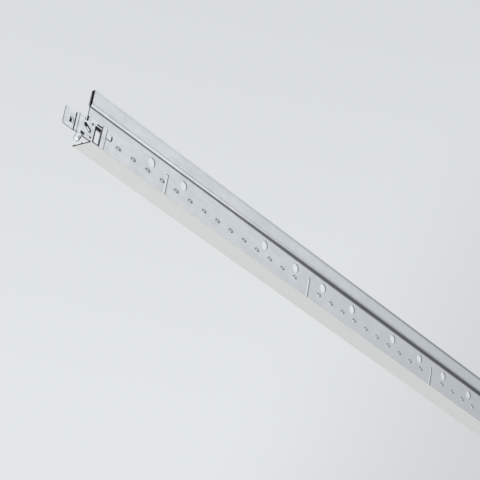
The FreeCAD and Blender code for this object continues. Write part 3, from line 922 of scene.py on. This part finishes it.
def face_cap(strip):
    """The painted strip under the flange, hemmed over both of its edges."""
    end = strip.stock_length / 2
    half = strip.flange / 2
    gauge = strip.cap_gauge
    hem_z = gauge + strip.gauge
    hem_y = half - strip.cap_return
    outer_radius = strip.cap_edge_radius
    inner_radius = max(outer_radius - gauge, gauge / 6)
    outer = [(hem_y, hem_z + gauge, 0), (half, hem_z + gauge, outer_radius), (half, 0, outer_radius)]
    inner = [(hem_y, hem_z, 0), (half - gauge, hem_z, inner_radius), (half - gauge, gauge, inner_radius)]
    bm = bmesh.new()
    lines = []
    for line in (outer, inner):
        near = [(-y, z, radius) for y, z, radius in line]
        lines.append(rounded([*near, *reversed(line)], ARC_STEPS))
    (out_left, out_right), (in_left, in_right) = extruded(bm, *lines, end)
    for i in (0, -1):
        bm.faces.new((out_left[i], in_left[i], in_right[i], out_right[i])).material_index = SHEARED
    bmesh.ops.recalc_face_normals(bm, faces=bm.faces[:])
    return as_mesh(bm, "painted_face")


class TEE_OT_painted_face(bpy.types.Operator):
    """Makes the white face cap that is hemmed round the flange"""

    bl_idname = "tee.painted_face"
    bl_label = "Painted face"

    def execute(self, context):
        mesh = face_cap(context.scene.tee_strip)
        piece = plain_piece("painted_face", mesh, ["white_polyester_coil_coat", "sheared_steel_end"])
        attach(piece, "root")
        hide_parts("face_cap")
        return {"FINISHED"}


# Share of the spring colour, part worn plating and part painted shade, on a sheared edge, a torn one and a
# pressed mark
EDGE, TORN, MARK = 0.3, 0.75, 1.0
MARK_SIDES = 20                 # corners round a pressed mark
LANCE_STEPS, FOOT_STEPS = 6, 5  # facets along the lance and round the foot's bend
LANCE_CURVE = 1.5               # power by which the lance rises from its root to its tip
LEAST_TEAR = 0.04               # share of the torn band where an edge doesn't face to the rear
FLAT = 0.9                      # a face is flat if this much of its normal is along Y


def mark_loop(x, z, size, slant, shrink):
    """Long round-ended mark of a (length, width) size, as (x, z) points; shrink takes it in all round."""
    radius = size[1] / 2 - shrink
    run = (size[0] - size[1]) / 2
    half = MARK_SIDES // 2
    points = []
    for i in range(MARK_SIDES):
        turn = math.pi * (i + 0.5) / half - math.pi / 2
        side = run if i < half else -run
        point = Vector((side + radius * math.cos(turn), radius * math.sin(turn)))
        point.rotate(Matrix.Rotation(slant, 2))
        points.append(point + Vector((x, z)))
    return points


def clip_outline(clip, punch):
    """Outline of the flat blank, from the tongue's front corner round by the foot and the rear edge."""
    corner, small, inner = clip.corner, clip.small_corner, clip.inner_corner
    reach, lead = clip.tongue_reach, clip.tongue_lead
    foot_z = clip.foot_bend_z - clip.foot_length
    ear_x = clip.rear_x + clip.ear_length
    ear_top = clip.top_z - clip.ear_drop
    ear_bottom = ear_top - clip.ear_height
    relief_left = -clip.relief_reach - clip.relief_width / 2
    relief_right = relief_left + clip.relief_width
    return rounded_loop([
        (-reach, clip.tongue_top_z - lead, small),
        (-reach, clip.tongue_bottom_z + lead, small),
        (-reach + lead, clip.tongue_bottom_z, small),
        (-clip.step_far, clip.tongue_bottom_z, small),
        (-clip.foot_far, clip.bottom_z, inner),
        (-clip.foot_far, foot_z, corner),
        (-clip.foot_near, foot_z, corner),
        (-clip.foot_near, clip.bottom_z, inner),
        (punch.notch_x, clip.bottom_z, inner),
        (punch.notch_x, clip.heel_z, corner),
        (clip.rear_x, clip.heel_z, corner),
        (clip.rear_x, ear_bottom, inner),
        (ear_x, ear_bottom, clip.ear_radius),
        (ear_x, ear_top, clip.ear_radius),
        (clip.rear_x, ear_top, inner),
        (clip.rear_x, clip.top_z, corner),
        (relief_right, clip.top_z, corner),
        (relief_right, clip.relief_bottom_z, inner),
        (relief_left, clip.relief_bottom_z, inner),
        (relief_left, clip.step_top_z, small),
        (-clip.step_near, clip.step_top_z, corner),
        (-clip.step_far, clip.tongue_top_z, corner),
        (-reach + lead, clip.tongue_top_z, small),
    ], CLIP_ARC_STEPS)


def drawn_in(loop, amount):
    """An anticlockwise loop of (x, z) points, moved in by an amount."""
    points = []
    for i, point in enumerate(loop):
        before = (point - loop[i - 1]).normalized()
        after = (loop[(i + 1) % len(loop)] - point).normalized()
        way = (before + after).normalized()
        # A sharp corner moves in by twice the amount at most
        points.append(point + Vector((-way.y, way.x)) * (amount / max(way.dot(after), 0.5)))
    return points


def rear_shadow_loop(loop, clip):
    """An anticlockwise loop, moved in where it faces the rear, most on the ear and hardly elsewhere; the
    band that it leaves is painted shadow.
    """
    points = []
    for point, moved in zip(loop, drawn_in(loop, clip.edge_shade_band)):
        share = max((point - moved).normalized().x, LEAST_TEAR)
        if point.x > clip.rear_x + clip.edge_draft:
            share *= clip.tip_shade_band / clip.edge_shade_band
        points.append(point.lerp(moved, share))
    return points


def window_loops(clip, punch):
    """The clip's window with its side slit: at the front, where its rim is coined, and at the back."""
    end_x = punch.window_x + punch.window_width + clip.rim_rear
    side_x = end_x - clip.side_width
    side_top = punch.window_top_z + clip.rim_above + clip.catch_bar + clip.slit_height + clip.side_height
    front = (punch.window_x - clip.rim_front, punch.window_bottom_z - clip.rim_below)
    back = (punch.window_x - clip.rim_gap, punch.window_bottom_z - clip.rim_gap)
    loops = []
    for (left, low), right, top in (
        (front, end_x, punch.window_top_z + clip.rim_above),
        (back, end_x - clip.rim_rear + clip.rim_gap, punch.window_top_z + clip.rim_gap),
    ):
        loops.append(rounded_loop([
            (left, low, clip.rim_corner),
            (right, low, clip.rim_corner),
            (end_x, side_top, clip.inner_corner),
            (side_x, side_top, clip.inner_corner),
            (side_x, top, clip.inner_corner),
            (left, top, clip.rim_corner),
        ], CLIP_ARC_STEPS))
    return loops


def catch_groove(clip, punch, shrink):
    """Groove over the catch bar, up to the side slit; shrink takes it in all round."""
    right = punch.window_x + punch.window_width + clip.rim_rear - clip.side_width - clip.inner_corner
    left = right + clip.side_width - clip.catch_length
    low = punch.window_top_z + clip.rim_above + clip.catch_bar
    high = low + clip.slit_height
    corners = [
        (left + shrink, low + shrink), (right - shrink, low + shrink),
        (right - shrink, high - shrink), (left + shrink, high - shrink),
    ]
    return rounded_loop([(x, z, clip.inner_corner) for x, z in corners], CLIP_ARC_STEPS)


def lance_slit(clip):
    """U-shaped slit that frees three sides of the lance."""
    root, tip = -clip.lance_tip - clip.lance_length, -clip.lance_tip
    half, gap = clip.lance_height / 2, clip.lance_gap
    middle = clip.lance_z
    return [Vector(p) for p in (
        (root, middle - half), (root, middle - half - gap), (tip + gap, middle - half - gap),
        (tip + gap, middle + half + gap), (root, middle + half + gap), (root, middle + half),
        (tip, middle + half), (tip, middle - half),
    )]


def sheet(bm, loops, y):
    """Flat sheet between an outline and its holes, at a depth y; returns the loops' vertices."""
    verts = [[bm.verts.new((p.x, y, p.y)) for p in loop] for loop in loops]
    flat = [v for loop in verts for v in loop]
    for corners in tessellate_polygon([[v.co.xzy for v in loop] for loop in verts]):
        bm.faces.new([flat[i] for i in corners])
    return verts


def walls(bm, first, second, wear):
    """Faces between two loops of as many vertices, darkened by a share of worn plating and painted shade.
    """
    layer = bm.faces.layers.float["wear"]
    for i in range(len(first)):
        bm.faces.new((first[i - 1], first[i], second[i], second[i - 1]))[layer] = wear


def flat_blank(bm, clip, punch):
    """Flat blank of the clip along X and Z, its back at y = 0, cut out and dished."""
    outline = clip_outline(clip, punch)
    window_front, window_back = window_loops(clip, punch)
    slit = lance_slit(clip)
    bead = (clip.bead_length, clip.bead_width)
    bead_floor = (clip.bead_floor_length, clip.bead_floor_width)
    stop = (clip.stop_length, clip.stop_width)
    clinch = (clip.clinch_length, clip.clinch_width)
    draft = clip.dish_draft
    shift_x = clip.bead_floor_shift * math.cos(clip.bead_slant)
    shift_z = clip.bead_floor_shift * math.sin(clip.bead_slant)
    # Rim and floor of each pressed mark, and how much painted shade, with some worn plating, both get
    marks = [
        (
            mark_loop(clip.bead_x, clip.bead_z, bead, -clip.bead_slant, 0),
            mark_loop(clip.bead_x + shift_x, clip.bead_z - shift_z, bead_floor, -clip.bead_slant, 0),
            MARK,
            0,
        ),
        (
            mark_loop(-clip.stop_reach, clip.stop_z, stop, 0, 0),
            mark_loop(-clip.stop_reach, clip.stop_z, stop, 0, draft),
            TORN,
            MARK,
        ),
        (catch_groove(clip, punch, 0), catch_groove(clip, punch, clip.inner_corner), MARK, MARK),
    ]
    for z in (clip.clinch_low_z, clip.clinch_high_z):
        rim, floor = (mark_loop(clip.clinch_x, z, clinch, 0, shrink) for shrink in (0, draft))
        marks.append((rim, floor, TORN, TORN))
    edge = drawn_in(outline, clip.edge_draft)
    rims = [mark[0] for mark in marks]
    front = sheet(bm, [rear_shadow_loop(edge, clip), window_front, slit, *rims], -clip.gauge)
    back = sheet(bm, [outline, window_back, slit], 0)
    torn = [bm.verts.new((p.x, -clip.gauge, p.y)) for p in edge]
    # Painted shadow on the band along the rear edges; the drafted walls get a little of the dark colour
    walls(bm, front[0], torn, TORN)
    walls(bm, torn, back[0], EDGE)
    # Painted shade on the walls of the window and of the lance's slit
    for ahead, behind in zip(front[1:], back[1:]):
        walls(bm, ahead, behind, MARK)
    layer = bm.faces.layers.float["wear"]
    for rim, (_, floor, wall_wear_and_shade, floor_wear_and_shade) in zip(front[len(back):], marks):
        verts = [bm.verts.new((p.x, clip.dish_depth - clip.gauge, p.y)) for p in floor]
        walls(bm, rim, verts, wall_wear_and_shade)
        bm.faces.new(verts)[layer] = floor_wear_and_shade


def step_bends(clip):
    """The two bends of the tongue's step: place, half of the score's width, and share of painted shade."""
    return (
        (clip.step_near, clip.score_near / 2, TORN),
        (clip.step_far, clip.score_far / 2, MARK),
    )


def on_lance(clip, x, z):
    """Whether a place of the blank is on the lance."""
    root, tip = clip.lance_tip + clip.lance_length, clip.lance_tip
    return abs(z - clip.lance_z) < clip.lance_height / 2 + WELD and -root - WELD < x < -tip + WELD


def in_relief(clip, x, z):
    """Whether a place of the blank is in the relief slit or on the draft of its edges."""
    half = clip.relief_width / 2 + clip.edge_draft
    return abs(x + clip.relief_reach) < half and z > clip.relief_bottom_z - clip.edge_draft


def cut_for_bends(bm, clip):
    """Cuts the blank across where it is creased or bent: ear, step, lance and foot."""
    ear_root = clip.rear_x - clip.edge_draft
    places = [ear_root - clip.edge_shade_band, ear_root]
    # Five cuts over each score of the step
    places += [-bend + half * k / 2 for bend, half, _ in step_bends(clip) for k in range(-2, 3)]
    places += [-clip.lance_tip - clip.lance_length * k / LANCE_STEPS for k in range(LANCE_STEPS + 1)]
    cuts = [((x, 0, 0), (1, 0, 0)) for x in places]
    foot_arc = clip.foot_radius * clip.foot_angle
    for k in range(FOOT_STEPS + 1):
        cuts.append(((0, 0, clip.foot_bend_z - foot_arc * k / FOOT_STEPS), (0, 0, 1)))
    for place, direction in cuts:
        parts = bm.verts[:] + bm.edges[:] + bm.faces[:]
        bmesh.ops.bisect_plane(bm, geom=parts, dist=WELD, plane_co=place, plane_no=direction)
    bmesh.ops.dissolve_degenerate(bm, dist=WELD, edges=bm.edges[:])
    bmesh.ops.recalc_face_normals(bm, faces=bm.faces[:])


def paint_wear_and_shade(bm, clip):
    """Paints worn plating and painted shade where the blank is bent, lanced or rubbed, and in the relief
    slit.
    """
    wear = bm.faces.layers.float["wear"]
    ear_root = clip.rear_x - clip.edge_draft
    for face in bm.faces:
        middle = face.calc_center_median()
        on_wall = abs(face.normal.y) < FLAT
        # Painted shade on the lance and on the walls of the relief slit
        if on_lance(clip, middle.x, middle.z) or on_wall and in_relief(clip, middle.x, middle.z):
            face[wear] = MARK
        # Painted shadow round the ear's tip and along the inner edge of the foot
        on_tip = middle.x > clip.rear_x + clip.ear_length / 2
        on_foot = abs(middle.x + clip.foot_near) < clip.corner and middle.z < clip.bottom_z - WELD
        if face[wear] > 0 and (on_tip or on_foot):
            face[wear] = MARK
        if face.normal.y > -FLAT:
            continue
        # Painted shade along the scored lines of the step
        for bend, half, bend_wear_and_shade in step_bends(clip):
            if abs(middle.x + bend) < half:
                face[wear] = bend_wear_and_shade
        # Painted shade in a line along the ear's root
        if ear_root - clip.edge_shade_band < middle.x < ear_root:
            face[wear] = TORN


def bend_blank(bm, clip):
    """Bends the blank: the foot to the far side, the lance and the step to the near side."""
    root = clip.lance_tip + clip.lance_length
    for vert in bm.verts:
        x, depth, z = vert.co
        if -clip.foot_far - WELD < x < -clip.foot_near + WELD and z < clip.foot_bend_z:
            run = clip.foot_bend_z - z
            turn = min(run / clip.foot_radius, clip.foot_angle)
            rest = run - turn * clip.foot_radius
            arc_y = clip.foot_radius * (1 - math.cos(turn)) + rest * math.sin(turn)
            arc_z = clip.foot_radius * math.sin(turn) + rest * math.cos(turn)
            vert.co.y = arc_y + depth * math.cos(turn)
            vert.co.z = clip.foot_bend_z - arc_z + depth * math.sin(turn)
            continue
        if on_lance(clip, x, z):
            vert.co.y += clip.lance_rise * max((x + root) / clip.lance_length, 0) ** LANCE_CURVE
        # Each of the two bends takes half of the step
        for bend, half, _ in step_bends(clip):
            if depth < 0 and abs(x + bend) < WELD:
                vert.co.y += clip.score_depth
            share = min(max((-x - bend) / (2 * half) + 0.5, 0), 1)
            vert.co.y -= clip.step / 2 * share * share * (3 - 2 * share)


def bent_clip(clip, punch, strip):
    """Mesh of the left clip: the blank bent into its step, lance and foot."""
    bm = bmesh.new()
    bm.faces.layers.float.new("wear")
    flat_blank(bm, clip, punch)
    cut_for_bends(bm, clip)
    paint_wear_and_shade(bm, clip)
    bend_blank(bm, clip)
    bmesh.ops.translate(bm, verts=bm.verts[:], vec=(-strip.stock_length / 2, -strip.gauge, 0))
    return as_mesh(bm, "splice_clip")


class TEE_OT_splice_clips(bpy.types.Operator):
    """Makes the spring steel splice clip of each end"""

    bl_idname = "tee.splice_clips"
    bl_label = "Splice clips"

    def execute(self, context):
        scene = context.scene
        left = bent_clip(scene.tee_clip, scene.tee_punch, scene.tee_strip)
        right = left.copy()
        right.transform(Matrix.Rotation(math.pi, 4, "Z"))
        for name, mesh, node in (
            ("spring_clip_left", left, "splice_clip_left"),
            ("spring_clip_right", right, "splice_clip_right"),
        ):
            piece = plain_piece(name, mesh, ["zinc_plated_spring_steel"])
            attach(piece, "root")
            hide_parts(node)
        return {"FINISHED"}


# Soft boxes: place from the tee's left end and size, both in metres, and power in watts
SOFT_BOXES = {
    "front_soft_box": ((0.85, -1.2, 0.87), (1.3, 1.1), 1.75),
    "low_soft_box": ((0.8, -0.95, -0.42), (0.9, 0.75), 2.0),
    "under_soft_box": ((-0.5, 0.15, -0.9), (0.8, 0.8), 2.5),
}
# Colours of the air, from level to straight up
AIR_TONES = ((0.0, "#e6e9e9"), (0.35, "#e3e7e8"), (0.6, "#d5d9db"), (1.0, "#c8ccd0"))
# The air is dimmer in front of the tee than behind it, and in the far corner towards which the tee
# runs: axis of the direction, where the change starts and stops, and the light at both
AIR_SHADES = (("Y", -0.3, 0.3, 0.68, 1.0), ("X", 0.69, 0.8, 1.0, 0.8))


def soft_box(name, target, offset, size, power):
    """Large soft white lamp that stands off a target and faces it; the camera doesn't see it."""
    lamp = bpy.data.lights.new(name, "AREA")
    lamp.shape = "RECTANGLE"
    lamp.size, lamp.size_y = size
    lamp.energy = power
    light = bpy.data.objects.new(name, lamp)
    light.location = target + Vector(offset)
    light.rotation_euler = (target - light.location).to_track_quat("-Z", "Y").to_euler()
    light.visible_camera = False
    bpy.context.scene.collection.objects.link(light)


def studio_air():
    """Pale surroundings, a little brighter low down behind the tee."""
    world = bpy.data.worlds.new("studio_air")
    world.use_nodes = True
    tree = world.node_tree
    tree.nodes.clear()
    direction = add_node(tree, "ShaderNodeTexCoord").outputs["Generated"]
    parts = add_node(tree, "ShaderNodeSeparateXYZ", {"Vector": direction})
    rise = add_node(tree, "ShaderNodeValToRGB", {"Fac": parts.outputs["Z"]})
    ramp = rise.color_ramp
    for place, text in AIR_TONES:
        stop = ramp.elements.new(place)
        stop.color = (*from_hex(text), 1)
    ramp.elements.remove(ramp.elements[0])
    ramp.elements.remove(ramp.elements[-1])
    level = 1.0
    for axis, start, stop, first, last in AIR_SHADES:
        inputs = {"From Min": start, "From Max": stop, "To Min": first, "To Max": last}
        inputs["Value"] = parts.outputs[axis]
        shade = add_node(tree, "ShaderNodeMapRange", inputs, interpolation_type="SMOOTHSTEP")
        level = add_node(tree, "ShaderNodeMath", {0: level, 1: shade}, operation="MULTIPLY")
    sky = add_node(tree, "ShaderNodeBackground", {"Color": rise, "Strength": level})
    add_node(tree, "ShaderNodeOutputWorld", {"Surface": sky})
    bpy.context.scene.world = world


def floor_paint(tint):
    """Matt studio floor, with a barely visible roller texture."""
    material, tree = new_finish("matt_studio_floor")
    place = add_node(tree, "ShaderNodeTexCoord").outputs["Object"]
    roller_mark = 400 * MM
    inputs = {"Vector": place, "Scale": 1 / roller_mark, "Detail": 2.0}
    marks = add_node(tree, "ShaderNodeTexNoise", inputs)
    rough = add_node(tree, "ShaderNodeMapRange", {"Value": marks, "To Min": 0.85, "To Max": 0.95})
    shader = add_node(tree, "ShaderNodeBsdfPrincipled", {"Base Color": (*tint, 1), "Roughness": rough})
    add_node(tree, "ShaderNodeOutputMaterial", {"Surface": shader})
    return material


class TEE_OT_stage(bpy.types.Operator):
    """Makes the floor, the light and the camera"""

    bl_idname = "tee.stage"
    bl_label = "Stage"

    def execute(self, context):
        scene = context.scene
        sizes = scene.tee_stage
        bm = bmesh.new()
        bmesh.ops.create_grid(bm, x_segments=1, y_segments=1, size=sizes.floor_size / 2)
        bmesh.ops.translate(bm, verts=bm.verts[:], vec=(0, 0, -sizes.floor_drop))
        mesh = as_mesh(bm, "floor")
        mesh.materials.append(floor_paint(sizes.floor))
        floor = bpy.data.objects.new("floor", mesh)
        scene.collection.objects.link(floor)
        studio_air()
        end = Vector((-scene.tee_strip.stock_length / 2, 0, 0))
        for name, (offset, size, power) in SOFT_BOXES.items():
            soft_box(name, end, offset, size, power)
        lens = bpy.data.cameras.new("camera")
        lens.lens = sizes.lens
        camera = bpy.data.objects.new("camera", lens)
        camera.location = sizes.camera_place
        camera.rotation_euler = sizes.camera_turn
        scene.collection.objects.link(camera)
        scene.camera = camera
        scene.view_settings.view_transform = "Standard"
        return {"FINISHED"}


class TEE_PT_maker(bpy.types.Panel):
    """Lists the pieces of the tee, and their sizes"""

    bl_idname = "TEE_PT_maker"
    bl_label = "Main tee"
    bl_space_type = "VIEW_3D"
    bl_region_type = "UI"
    bl_category = "Main tee"

    def draw(self, context):
        scene = context.scene
        for operator, sizes in (
            (TEE_OT_folded_strip, (scene.tee_strip, scene.tee_punch)),
            (TEE_OT_painted_face, ()),
            (TEE_OT_splice_clips, (scene.tee_clip,)),
            (TEE_OT_stage, (scene.tee_finishes, scene.tee_stage)),
        ):
            box = self.layout.box()
            box.operator(operator.bl_idname)
            for group in sizes:
                for name in group.bl_rna.properties.keys():
                    if name not in ("rna_type", "name"):
                        box.prop(group, name)


GROUPS = {
    "tee_strip": StripSizes,
    "tee_punch": PunchSizes,
    "tee_clip": ClipSizes,
    "tee_finishes": Finishes,
    "tee_stage": StageSizes,
}
CLASSES = (
    *GROUPS.values(),
    TEE_OT_folded_strip,
    TEE_OT_painted_face,
    TEE_OT_splice_clips,
    TEE_OT_stage,
    TEE_PT_maker,
)


def register():
    """Adds the classes, and their sizes to the scene."""
    for cls in CLASSES:
        bpy.utils.register_class(cls)
    for name, group in GROUPS.items():
        setattr(bpy.types.Scene, name, PointerProperty(type=group))


def unregister():
    """Takes the sizes and the classes away again."""
    for name in GROUPS:
        delattr(bpy.types.Scene, name)
    for cls in reversed(CLASSES):
        bpy.utils.unregister_class(cls)


def main():
    """Builds the stage and the pieces."""
    register()
    bpy.ops.tee.stage()
    bpy.ops.tee.folded_strip()
    bpy.ops.tee.painted_face()
    bpy.ops.tee.splice_clips()


if __name__ == "__main__":
    main()
